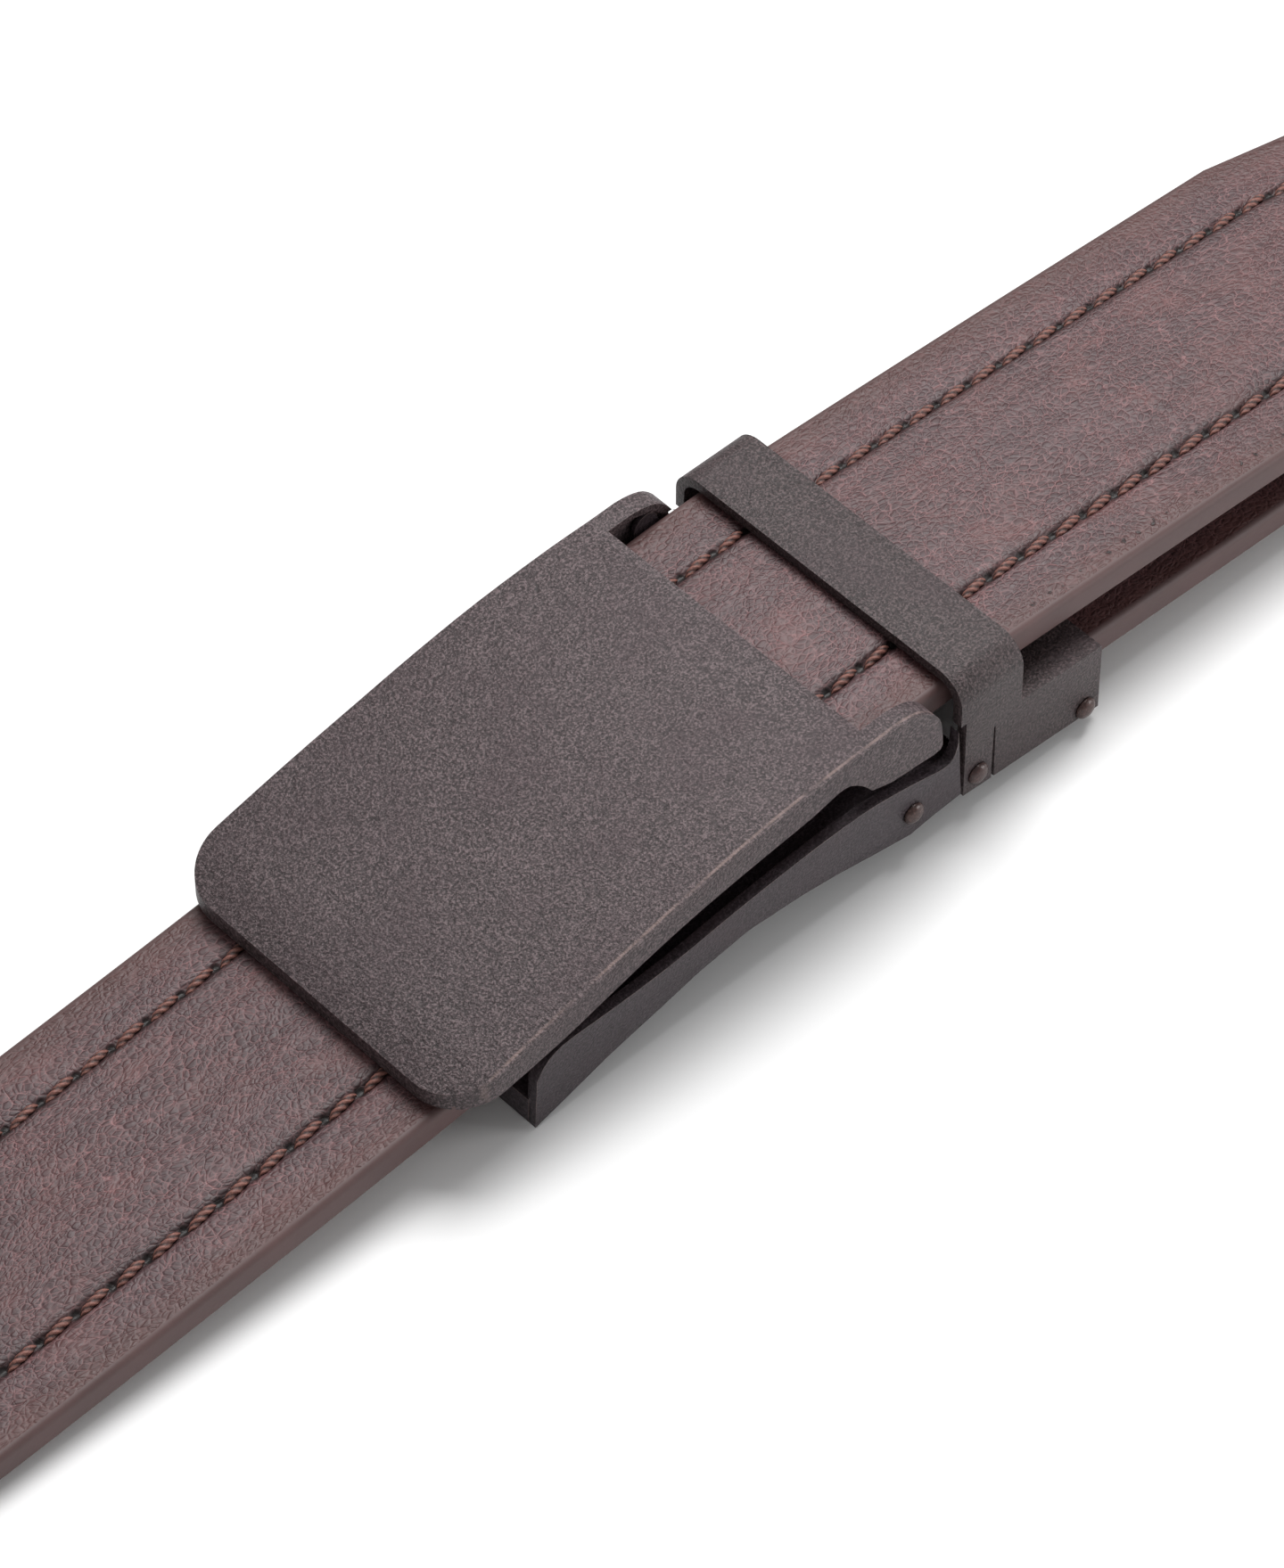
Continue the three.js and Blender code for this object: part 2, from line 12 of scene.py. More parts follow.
import bmesh
import bpy
import numpy as np
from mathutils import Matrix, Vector

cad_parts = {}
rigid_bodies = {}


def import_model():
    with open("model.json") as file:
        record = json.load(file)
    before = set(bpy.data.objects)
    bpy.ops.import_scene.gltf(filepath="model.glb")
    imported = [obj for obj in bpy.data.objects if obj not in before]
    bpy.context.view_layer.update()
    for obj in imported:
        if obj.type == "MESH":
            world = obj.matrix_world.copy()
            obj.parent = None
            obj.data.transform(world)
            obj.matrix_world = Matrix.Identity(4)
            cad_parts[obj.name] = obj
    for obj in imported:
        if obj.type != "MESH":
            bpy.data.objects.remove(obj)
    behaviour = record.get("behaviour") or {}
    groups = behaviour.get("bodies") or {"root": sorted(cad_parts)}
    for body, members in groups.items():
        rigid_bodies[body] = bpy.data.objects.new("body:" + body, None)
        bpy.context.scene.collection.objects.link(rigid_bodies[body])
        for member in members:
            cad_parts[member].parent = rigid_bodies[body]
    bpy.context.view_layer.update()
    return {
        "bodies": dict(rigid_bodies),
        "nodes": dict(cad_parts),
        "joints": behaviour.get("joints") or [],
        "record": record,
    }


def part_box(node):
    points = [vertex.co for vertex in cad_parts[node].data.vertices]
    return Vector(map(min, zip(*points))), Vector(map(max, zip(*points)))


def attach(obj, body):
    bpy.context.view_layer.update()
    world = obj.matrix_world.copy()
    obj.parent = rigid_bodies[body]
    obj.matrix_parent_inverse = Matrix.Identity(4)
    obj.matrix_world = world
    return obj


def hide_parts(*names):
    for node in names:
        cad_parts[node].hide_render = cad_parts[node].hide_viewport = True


logging.basicConfig(level=logging.INFO, format="%(message)s")
log = logging.getLogger("belt")

Colour = tuple[float, float, float, float]
Span = tuple[float, float]

MM = 0.001
# Millimetres along X, under the end of the cover plate, from where the tail's near edge has pricks.
PRICKS_FROM_X = 8.0


class Body(Enum):
    """The two rigid bodies that pieces ride on."""

    BELT = "belt"
    COVER = "cover"


class Slot(Enum):
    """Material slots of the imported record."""

    LEATHER = "leather"
    COAT = "buckle_coat"
    RIVET = "rivet_coat"


class Part(IntEnum):
    """Parts of the strap's surface, in the order of its materials."""

    GRAIN = 0
    EDGE = 1
    LINING = 2


def srgb(red: int, green: int, blue: int) -> Colour:
    """Turns a screen colour of 0 to 255 into a linear colour with alpha."""

    def linear(value: int) -> float:
        """Undoes the screen curve for one channel."""
        share = value / 255
        return share / 12.92 if share <= 0.04045 else ((share + 0.055) / 1.055) ** 2.4

    return linear(red), linear(green), linear(blue), 1.0


def metres(span: Span) -> Span:
    """Turns a span of millimetres into metres."""
    return span[0] * MM, span[1] * MM


# Shader maths


class Waves(NamedTuple):
    """Settings of one noise: waves per metre, octaves of detail and their roughness."""

    scale: float
    detail: float = 2.0
    rough: float = 0.5


class Net(NamedTuple):
    """One net of creases: cells per metre, a crease's width in cells, and the noise that bends it."""

    scale: float
    width: float
    waves: float
    bend: float


class Wire:
    """One socket in a material's tree, with operators that add Math nodes."""

    def __init__(self, paint: Paint, socket: bpy.types.NodeSocket) -> None:
        """Keeps the socket and the material that it belongs to."""
        self.paint = paint
        self.socket = socket

    def _math(self, kind: str, *values: Wire | float) -> Wire:
        """Adds one Math node over the given values."""
        return self.paint.add("ShaderNodeMath", {"operation": kind}, dict(enumerate(values)))

    def __add__(self, other: Wire | float) -> Wire:
        """Sum."""
        return self._math("ADD", self, other)

    def __sub__(self, other: Wire | float) -> Wire:
        """Difference."""
        return self._math("SUBTRACT", self, other)

    def __rsub__(self, other: float) -> Wire:
        """Difference from a number."""
        return self._math("SUBTRACT", other, self)

    def __mul__(self, other: Wire | float) -> Wire:
        """Product."""
        return self._math("MULTIPLY", self, other)

    __radd__ = __add__
    __rmul__ = __mul__

    def absolute(self) -> Wire:
        """Size without its sign."""
        return self._math("ABSOLUTE", self)

    def pingpong(self, scale: float) -> Wire:
        """Distance to the nearest even multiple of scale."""
        return self._math("PINGPONG", self, scale)

    def hypot(self, other: Wire) -> Wire:
        """Length of the vector with these two components."""
        return self._math("SQRT", self * self + other * other)

    def step(self, low: float, high: float) -> Wire:
        """Rises smoothly from 0 at low to 1 at high."""
        settings = {"interpolation_type": "SMOOTHSTEP", "clamp": True}
        return self.paint.add(
            "ShaderNodeMapRange", settings, {"Value": self, "From Min": low, "From Max": high}, "Result"
        )

    def fade(self, low: float, high: float) -> Wire:
        """Falls smoothly from 1 at low to 0 at high."""
        return 1.0 - self.step(low, high)

    def between(self, first: Wire | tuple, second: Wire | tuple) -> Wire:
        """Mixes two colours by this mask, from 0 for the first to 1 for the second."""
        settings = {"data_type": "RGBA", "clamp_factor": True}
        return self.paint.add("ShaderNodeMix", settings, {0: self, 6: first, 7: second}, 2)


class Paint:
    """A node material under construction."""

    def __init__(self, name: str) -> None:
        """Starts a material with its Principled shader.

        Args:
            name: the material's name.
        """
        self.material = bpy.data.materials.new(name)
        self.material.use_nodes = True
        self.tree = self.material.node_tree
        self.shader = self.tree.nodes["Principled BSDF"]

    def feed(self, socket: bpy.types.NodeSocket, value: Wire | float | tuple) -> None:
        """Links a wire to a socket, or sets a plain value on it."""
        if isinstance(value, Wire):
            self.tree.links.new(value.socket, socket)
        else:
            socket.default_value = value

    def add(self, kind: str, settings: dict, inputs: dict, output: int | str = 0) -> Wire:
        """Adds one node.

        Args:
            kind: the node's type.
            settings: its own properties.
            inputs: values or wires by socket index or name.
            output: the socket that is handed back.

        Returns:
            The wire that leaves the node.
        """
        made = self.tree.nodes.new(kind)
        for name, value in settings.items():
            setattr(made, name, value)
        for key, value in inputs.items():
            self.feed(made.inputs[key], value)
        return Wire(self, made.outputs[output])

    def coordinates(self, kind: str) -> Wire:
        """Object or UV coordinates."""
        return self.add("ShaderNodeTexCoord", {}, {}, kind)

    def axis(self, vector: Wire, name: str) -> Wire:
        """One component of a vector."""
        return self.add("ShaderNodeSeparateXYZ", {}, {0: vector}, name)

    def noise(self, vector: Wire, waves: Waves) -> Wire:
        """Soft noise between 0 and 1."""
        inputs = {"Vector": vector, "Scale": waves.scale, "Detail": waves.detail, "Roughness": waves.rough}
        return self.add("ShaderNodeTexNoise", {}, inputs)

    def stretched(self, vector: Wire, factors: tuple[float, float, float]) -> Wire:
        """Multiplies a vector's three components."""
        return self.add("ShaderNodeVectorMath", {"operation": "MULTIPLY"}, {0: vector, 1: factors})

    def shifted(self, vector: Wire, scale: float, amount: float) -> Wire:
        """Bends a vector by coloured noise."""
        shake = self.add("ShaderNodeTexNoise", {}, {"Vector": vector, "Scale": scale}, "Color")
        settings = {"operation": "MULTIPLY_ADD"}
        return self.add("ShaderNodeVectorMath", settings, {0: shake, 1: (amount,) * 3, 2: vector})

    def cracks(self, vector: Wire, net: Net) -> Wire:
        """Distance from the nearest crease of a cellular grain, in cells."""
        inputs = {"Vector": self.shifted(vector, net.waves, net.bend), "Scale": net.scale}
        return self.add("ShaderNodeTexVoronoi", {"feature": "DISTANCE_TO_EDGE"}, inputs)

    def bump(self, height: Wire, depth: float, strength: float = 1.0) -> None:
        """Raises the surface by a height field of the given depth in millimetres."""
        inputs = {"Strength": strength, "Distance": depth * MM, "Height": height}
        self.feed(self.shader.inputs["Normal"], self.add("ShaderNodeBump", {}, inputs))

    def set(self, **values: Wire | float | tuple) -> None:
        """Feeds the shader's own sockets, with underscores for the spaces in their names."""
        for name, value in values.items():
            self.feed(self.shader.inputs[name.replace("_", " ")], value)


# Finishes


@dataclass(frozen=True)
class GrainedLeather:
    """Fine crackled leather, dark cells between paler creases, with a needle hole at each stitch and
    painted shade along each seam.

    The UV map is in metres. A span says where a smooth step begins and ends: in millimetres for the
    seams, holes and pricks, and in the noise's own values elsewhere. Shares are weights of 0 to 1.
    """

    name: str = "grained_leather"
    cell: Colour = srgb(55, 33, 36)
    crease: Colour = srgb(130, 91, 92)
    rubbed: Colour = srgb(100, 62, 60)
    grey: Colour = srgb(80, 62, 65)
    margin: Colour = srgb(74, 46, 43)
    hole_and_seam_shade: Colour = srgb(18, 11, 10)

    stretch: tuple = (0.8, 1.15, 1.0)
    swirl_waves: float = 70.0
    swirl_bend: float = 0.005
    fine: Net = Net(1550.0, 0.09, 900.0, 0.0003)
    coarse: Net = Net(899.0, 0.055, 700.0, 0.0004)
    veins: Net = Net(248.0, 0.02, 200.0, 0.004)
    patches: Waves = Waves(900.0, 2.0, 0.6)
    broad: Waves = Waves(60.0, 3.0, 0.55)
    tints: Waves = Waves(170.0, 3.0, 0.6)
    pull: tuple = (0.35, 1.6, 1.0)
    folds: Waves = Waves(260.0, 3.0, 0.55)

    fine_share: float = 0.5
    coarse_share: float = 0.2
    coarse_gain: float = 0.45
    vein_share: float = 0.5
    vein_span: Span = (0.45, 0.6)
    least_grain: float = 0.3
    patch_span: Span = (0.3, 0.65)
    fold_share: float = 0.14
    fold_span: Span = (0.3, 0.8)
    rubbed_share: float = 0.4
    rubbed_span: Span = (0.45, 0.75)
    grey_share: float = 0.35
    grey_span: Span = (0.5, 0.2)
    cell_round: Span = (0.0, 0.3)
    depth: float = 0.07

    holes: bool = True
    margin_share: float = 0.7
    margin_span: Span = (2.5, 6.8)
    # Painted shade on the panel beside each seam and painted shadow along the seam itself, in the dark hole
    # colour.
    shade_inwards: float = 0.7
    shade_share: float = 0.3
    shade_span: Span = (0.2, 1.0)
    seam_shadow_share: float = 0.45
    seam_shadow_span: Span = (0.25, 0.8)
    hole_span: Span = (0.25, 0.7)
    hole_sink: float = 2.0

    prick_waves: Waves = Waves(500.0)
    prick_wander: float = 2.6
    prick_sway: float = 0.6
    prick_pitch: float = 2.1
    prick_row: float = 14.9
    prick_span: Span = (0.12, 0.4)
    prick_patches: Span = (0.44, 0.54)
    prick_share: float = 0.9

    def crackle(self, paint: Paint, uv: Wire, swirl: Wire, patch: Wire) -> tuple[Wire, Wire]:
        """Colour and height of the bare grain.

        Args:
            paint: the material.
            uv: the strap's map in metres.
            swirl: the same map, stretched and gently bent.
            patch: noise that thins the creases out in places.

        Returns:
            The colour and the height.
        """
        fine, coarse, veins = (paint.cracks(swirl, net) for net in (self.fine, self.coarse, self.veins))
        broad = paint.noise(uv, self.broad)
        tint = paint.noise(swirl, self.tints)
        folds = paint.noise(paint.stretched(swirl, self.pull), self.folds)
        line = veins.fade(0.0, self.veins.width)
        lined = fine.fade(0.0, self.fine.width) * self.fine_share
        lined = lined + coarse.fade(0.0, self.coarse.width) * (self.coarse_share + broad * self.coarse_gain)
        lined = lined + line * broad.step(*self.vein_span) * self.vein_share
        lined = lined * (self.least_grain + patch.step(*self.patch_span) * (1 - self.least_grain))
        lined = lined + folds.step(*self.fold_span) * self.fold_share
        colour = lined.between(self.cell, self.crease)
        colour = (tint.step(*self.rubbed_span) * self.rubbed_share).between(colour, self.rubbed)
        colour = (tint.step(*self.grey_span) * self.grey_share).between(colour, self.grey)
        cells = fine.step(*self.cell_round) * 0.5 + coarse.step(*self.cell_round) * 0.4
        return colour, cells + folds * 2.0 - line * 0.3

    def sewn(
        self, paint: Paint, uv: Wire, rows: Stitching, colour: Wire, height: Wire
    ) -> tuple[Wire, Wire]:
        """Adds the margins' darker tone, painted shade and shadow along the seams, and the needle holes to
        colour and height.
        """
        along = paint.axis(uv, "X").pingpong(rows.pitch * MM / 2)
        off = paint.axis(uv, "Y").absolute() - rows.offset * MM
        pit = along.hypot(off).fade(*metres(self.hole_span))
        seam = off.absolute().fade(*metres(self.seam_shadow_span))
        panel_shade = (off + self.shade_inwards * MM).absolute().fade(*metres(self.shade_span))
        rim = off.step(*metres(self.margin_span))
        colour = (rim * self.margin_share).between(colour, self.margin)
        # Painted shade beside each seam and painted shadow along it, mixed towards the dark hole colour.
        colour = (panel_shade * self.shade_share + seam * self.seam_shadow_share).between(colour, self.hole_and_seam_shade)
        return pit.between(colour, self.hole_and_seam_shade), height - pit * self.hole_sink

    def pricked(
        self, paint: Paint, uv: Wire, patch: Wire, tail_start: float, colour: Wire, height: Wire
    ) -> tuple[Wire, Wire]:
        """Adds the small pricks along the tail's near edge to colour and height."""
        wander = paint.noise(uv, self.prick_waves) * (self.prick_wander * MM)
        along = (paint.axis(uv, "X") + wander).pingpong(self.prick_pitch * MM / 2)
        across = paint.axis(uv, "Y") + wander * self.prick_sway + self.prick_row * MM
        on_tail = paint.axis(uv, "X").step(tail_start, tail_start + MM)
        dot = along.hypot(across).fade(*metres(self.prick_span)) * on_tail * patch.step(*self.prick_patches)
        return (dot * self.prick_share).between(colour, self.hole_and_seam_shade), height - dot

    def build(self, rows: Stitching, tail_start: float) -> bpy.types.Material:
        """Makes the material.

        Args:
            rows: the stitching, whose pitch and offset place the holes.
            tail_start: distance along the strap, in metres, where the pricks along the near edge begin.

        Returns:
            The finished material.
        """
        paint = Paint(self.name)
        uv = paint.coordinates("UV")
        swirl = paint.shifted(paint.stretched(uv, self.stretch), self.swirl_waves, self.swirl_bend)
        patch = paint.noise(swirl, self.patches)
        colour, height = self.crackle(paint, uv, swirl, patch)
        if self.holes:
            colour, height = self.sewn(paint, uv, rows, colour, height)
            colour, height = self.pricked(paint, uv, patch, tail_start, colour, height)
        paint.set(Base_Color=colour, Roughness=0.42 + patch * 0.2, Specular_IOR_Level=0.45)
        paint.bump(height, self.depth)
        return paint.material


@dataclass(frozen=True)
class PaintedEdge:
    """Smooth burnished edge paint of the strap's sides."""

    name: str = "painted_edge"
    deep: Colour = srgb(66, 47, 46)
    pale: Colour = srgb(88, 63, 62)
    clouds: Waves = Waves(180.0, 3.0)
    brushing: Waves = Waves(900.0, 3.0)
    depth: float = 0.06

    def build(self) -> bpy.types.Material:
        """Makes the material."""
        paint = Paint(self.name)
        place = paint.coordinates("Object")
        cloud = paint.noise(place, self.clouds)
        paint.set(Base_Color=cloud.between(self.deep, self.pale), Roughness=0.5 + cloud * 0.14)
        paint.bump(paint.noise(place, self.brushing), self.depth, 0.5)
        return paint.material


@dataclass(frozen=True)
class WaxedThread:
    """Red-brown twisted thread, with painted shade in the grooves between its strands and paler crests."""

    name: str = "waxed_thread"
    dark: Colour = srgb(46, 27, 25)
    light: Colour = srgb(130, 84, 74)
    fibres: Waves = Waves(3600.0, 3.0, 0.65)
    groove_shade_span: Span = (0.0, 0.9)
    fibre_span: Span = (0.3, 0.7)
    depth: float = 0.12

    def build(self) -> bpy.types.Material:
        """Makes the material."""
        paint = Paint(self.name)
        strand = paint.axis(paint.coordinates("UV"), "Y").pingpong(0.5) * 2.0
        fibre = paint.noise(paint.coordinates("Object"), self.fibres)
        # Painted shade: dark in the grooves between strands, paler on their crests.
        shade = strand.step(*self.groove_shade_span) * 0.8 + fibre.step(*self.fibre_span) * 0.5 - 0.2
        paint.set(Base_Color=shade.between(self.dark, self.light), Roughness=0.6)
        paint.bump(strand + fibre * 0.5, self.depth, 0.8)
        return paint.material


@dataclass(frozen=True)
class PowderCoat:
    """Fine textured metal coat, dark with pale grains, painted glints on the brightest grains, and cloudy
    patches.
    """

    name: str
    base: Colour = srgb(24, 18, 19)
    grain: Colour = srgb(106, 92, 94)
    tint: Colour = srgb(66, 52, 56)
    sand: Waves = Waves(3900.0, 3.0, 0.65)
    lumps: Waves = Waves(1560.0)
    clouds: Waves = Waves(110.0, 4.0, 0.6)
    contrast: float = 0.75
    painted_glint: float = 0.45
    sand_span: Span = (0.42, 0.66)
    painted_glint_span: Span = (0.58, 0.66)
    lump_span: Span = (0.3, 0.7)
    lump_share: float = 0.15
    middle_share: float = 0.45
    tint_span: Span = (0.42, 0.75)
    tint_share: float = 0.35
    roughness: float = 0.52
    depth: float = 0.15

    def build(self) -> bpy.types.Material:
        """Makes the material."""
        paint = Paint(self.name)
        place = paint.coordinates("Object")
        sand, lumps, cloud = (paint.noise(place, waves) for waves in (self.sand, self.lumps, self.clouds))
        share = sand.step(*self.sand_span) * self.contrast + self.middle_share * (1 - self.contrast)
        share = share + lumps.step(*self.lump_span) * self.lump_share
        # Painted glints: the brightest sand grains are made paler still.
        share = share + sand.step(*self.painted_glint_span) * self.painted_glint
        tone = share.between(self.base, self.grain)
        tone = (cloud.step(*self.tint_span) * self.tint_share).between(tone, self.tint)
        # Adds the painted edge highlight, where a coat has one.
        tone = self.paint_edge_highlight(paint, place, tone)
        rough = self.roughness + cloud * 0.08 - sand * 0.15
        paint.set(Base_Color=tone, Metallic=0.1, Specular_IOR_Level=0.35, Roughness=rough)
        paint.bump(sand * 0.9 + lumps * 0.8, self.depth)
        return paint.material

    def paint_edge_highlight(self, paint: Paint, place: Wire, tone: Wire) -> Wire:
        """Leaves the colour as it is, with no painted highlight."""
        return tone


@dataclass(frozen=True)
class PlateCoat(PowderCoat):
    """The cover plate's coat, with a thin paler line where its near side turns down: a painted highlight,
    made patchy by wear noise.

    Lengths are in millimetres. The plate widens towards the right.
    """

    middle_y: float = -69.8
    half_width: float = 19.95
    widening: float = 0.5 / 49
    inset: float = 0.35
    line_span: Span = (0.05, 0.24)
    line_share: float = 0.5
    wear: Waves = Waves(300.0, 3.0, 0.6)
    wear_span: Span = (0.3, 0.6)
    edge_highlight: Colour = srgb(150, 128, 122)

    def paint_edge_highlight(self, paint: Paint, place: Wire, tone: Wire) -> Wire:
        """Adds the painted highlight line on the near side only, made patchy by wear noise."""
        out = self.middle_y * MM - paint.axis(place, "Y") + paint.axis(place, "X") * self.widening
        wear = paint.noise(place, self.wear).step(*self.wear_span)
        line = (out - (self.half_width - self.inset) * MM).absolute().fade(*metres(self.line_span))
        return (line * wear * self.line_share).between(tone, self.edge_highlight)


@dataclass(frozen=True)
class HighlightedWornEdge:
    """Rounded edge of a coated sheet, paler: partly wear, partly a painted highlight."""

    name: str
    dull: Colour = srgb(72, 60, 60)
    bright: Colour = srgb(168, 146, 140)
    wear: Waves = Waves(420.0, 4.0, 0.65)
    wear_span: Span = (0.35, 0.68)
    least_bright: float = 0.25
    brushing: Waves = Waves(2400.0)
    depth: float = 0.04

    def build(self) -> bpy.types.Material:
        """Makes the material."""
        paint = Paint(self.name)
        place = paint.coordinates("Object")
        wear = paint.noise(place, self.wear).step(*self.wear_span)
        # Painted highlight along every rounded edge, at least a quarter of the way to bright, made patchy
        # by wear noise.
        tone = (self.least_bright + wear * (1 - self.least_bright)).between(self.dull, self.bright)
        paint.set(Base_Color=tone, Metallic=0.15, Roughness=0.5 - wear * 0.15)
        paint.bump(paint.noise(place, self.brushing), self.depth, 0.7)
        return paint.material


@dataclass(frozen=True)
class MouldedPlastic:
    """Black moulded strip of the ratchet."""

    name: str = "moulded_plastic"
    dark: Colour = srgb(20, 18, 18)
    light: Colour = srgb(40, 37, 36)
    grain: Waves = Waves(1500.0)
    depth: float = 0.03

    def build(self) -> bpy.types.Material:
        """Makes the material."""
        paint = Paint(self.name)
        grain = paint.noise(paint.coordinates("Object"), self.grain)
        paint.set(Base_Color=grain.between(self.dark, self.light), Roughness=0.4 + grain * 0.2)
        paint.bump(grain, self.depth, 0.5)
        return paint.material


# The strap


def through(rows: list[tuple[float, float]], steps: int) -> np.ndarray:
    """Samples a uniform Catmull-Rom curve through x and z.

    Args:
        rows: points of the curve.
        steps: samples on each span.

    Returns:
        An array of x and z.
    """
    last = len(rows) - 1
    out = []
    for i in range(steps * last + 1):
        span, t = divmod(i / steps, 1)
        k = int(span)
        if k == last:
            out.append(rows[-1])
            continue
        p0, p1, p2 = rows[max(k - 1, 0)], rows[k], rows[k + 1]
        p3 = rows[min(k + 2, last)]
        point = []
        for a, b, c, d in zip(p0, p1, p2, p3):
            v0, v1 = (c - a) / 2, (d - b) / 2
            cubic = (2 * b - 2 * c + v0 + v1) * t**3 + (-3 * b + 3 * c - 2 * v0 - v1) * t**2
            point.append(cubic + v0 * t + b)
        out.append(tuple(point))
    return np.array(out)


@dataclass
class Station:
    """One place on the strap's route."""

    centre: np.ndarray
    along: np.ndarray
    across: np.ndarray
    normal: np.ndarray
    travelled: float
    half_width: float


@dataclass
class StrapRoute:
    """Centre line of the strap in millimetres, from its clamped end round the loop to the tail's tip."""

    width: float = 35.0
    thickness: float = 3.8
    front_run: float = 380.0
    twist_length: float = 65.0
    corner_radius: float = 40.0
    corner_turn: float = math.radians(135)
    tail_tip: float = 132.0
    tail_taper: float = 48.0
    tail_narrowing: float = 0.62
    tip_half_width: float = 5.0
    tip_rounds_from: float = 0.72
    tip_least: float = 0.4
    tip_blunt: float = 0.25
    clamped_end: float = 20.0
    spacing: float = 1.4
    tail_rise: tuple = (
        (-125, 0.5), (-107, 1.0), (-82, 2.6), (-53, 4.9), (-44, 6.3), (-30, 8.8), (-17, 11.1),
        (0, 13.6), (12, 14.1), (22, 13.9), (50, 12.3), (78, 10.4), (110, 8.2), (132, 6.7),
    )
    clamped_rise: tuple = ((20, 5.2), (31, 4.8), (78, 2.6), (125, 0.5))
    clamped_samples: int = 5
    tail_samples: int = 16
    stations: list[Station] = field(default_factory=list)

    def front(self, x: float, rows: np.ndarray) -> tuple:
        """Place, heading and roll on the straight front, where rows give the underside."""
        share = (abs(x) - (self.front_run / 2 - self.twist_length)) / self.twist_length
        share = min(max(share, 0.0), 1.0)
        eased = share * share * (3 - 2 * share)
        roll = eased * math.pi / 2
        flat = float(np.interp(x, rows[:, 0], rows[:, 1]))
        lift = self.width / 2 * math.sin(roll) + self.thickness / 2 * math.cos(roll)
        return x, 0.0, flat * (1 - eased) + lift, 0.0, roll

    def arc(self, x: float, y: float, radius: float, heading: float) -> tuple:
        """Place, heading and roll on a standing bend."""
        return (
            x + radius * math.sin(heading), y - radius * math.cos(heading),
            self.width / 2, heading, math.pi / 2,
        )

    def tail_half_width(self, x: float) -> float:
        """Half the width of the tail at x: straight sides that narrow to a rounded tip."""
        half = self.width / 2
        u = (x - (self.tail_tip - self.tail_taper)) / self.tail_taper
        if u <= 0:
            return half
        straight = half - (half - self.tip_half_width) * self.tail_narrowing * u
        rounding = max(0.0, (u - self.tip_rounds_from) / (1 - self.tip_rounds_from))
        swell = self.tip_blunt + (1 - self.tip_blunt) * math.sqrt(max(0.0, 1 - rounding**2))
        return max(self.tip_half_width * self.tip_least, straight * swell)

    def build(self, shift_y: float) -> None:
        """Works out the stations.

        Args:
            shift_y: Y of the belt's front run in the part's own frame, in millimetres.
        """
        clamped = through(list(self.clamped_rise), self.clamped_samples)
        tail = through(list(self.tail_rise), self.tail_samples)
        end = self.front_run / 2
        turn, radius = self.corner_turn, self.corner_radius
        far_turn = 2 * math.pi - turn
        back = radius + end / math.sin(turn)
        back_y = radius + (back - radius) * math.cos(turn)

        def run(start: float, stop: float, length: float, make: Callable[[float], tuple]) -> list[tuple]:
            """Samples one stretch, without its first point."""
            count = max(2, round(length / self.spacing))
            return [make(start + (stop - start) * (i + 1) / count) for i in range(count)]

        flat_end = self.tail_tip - self.tail_taper
        places = [self.front(self.clamped_end, clamped)]
        places += run(self.clamped_end, end, end - self.clamped_end, lambda x: self.front(x, clamped))
        places += run(0, turn, radius * turn, lambda a: self.arc(end, radius, radius, a))
        places += run(turn, far_turn, back * (far_turn - turn), lambda a: self.arc(0, back_y, back, a))
        places += run(far_turn, 2 * math.pi, radius * turn, lambda a: self.arc(-end, radius, radius, a))
        places += run(-end, flat_end, end + flat_end, lambda x: self.front(x, tail))
        body = len(places)
        places += run(
            0, math.pi / 2, self.tail_taper,
            lambda a: self.front(self.tail_tip - self.tail_taper * (1 - math.sin(a)), tail),
        )
        travelled = 0.0
        for i, (x, y, z, heading, roll) in enumerate(places):
            before, after = places[max(0, i - 1)], places[min(len(places) - 1, i + 1)]
            if i:
                travelled += math.dist(places[i - 1][:3], (x, y, z))
            level = math.hypot(after[0] - before[0], after[1] - before[1])
            slope = (after[2] - before[2]) / level if roll == 0 else 0.0
            along = np.array([math.cos(heading), math.sin(heading), 0.0])
            outward = np.array([math.sin(heading), -math.cos(heading), 0.0])
            normal = np.array([0, 0, math.cos(roll)]) + outward * math.sin(roll)
            across = np.cross(normal, along)
            half = self.tail_half_width(x) if i >= body else self.width / 2
            centre = np.array([x, y + shift_y, z])
            self.stations.append(
                Station(centre, along + normal * slope, across, normal - along * slope, travelled, half)
            )

    def at(self, travelled: float) -> Station:
        """The station at a distance from the clamped end."""
        lengths = [s.travelled for s in self.stations]
        i = min(max(int(np.searchsorted(lengths, travelled)), 1), len(lengths) - 1)
        a, b = self.stations[i - 1], self.stations[i]
        t = (travelled - a.travelled) / max(b.travelled - a.travelled, 1e-9)
        names = ("centre", "along", "across", "normal")
        mixed = [getattr(a, name) * (1 - t) + getattr(b, name) * t for name in names]
        return Station(*mixed, travelled, a.half_width * (1 - t) + b.half_width * t)


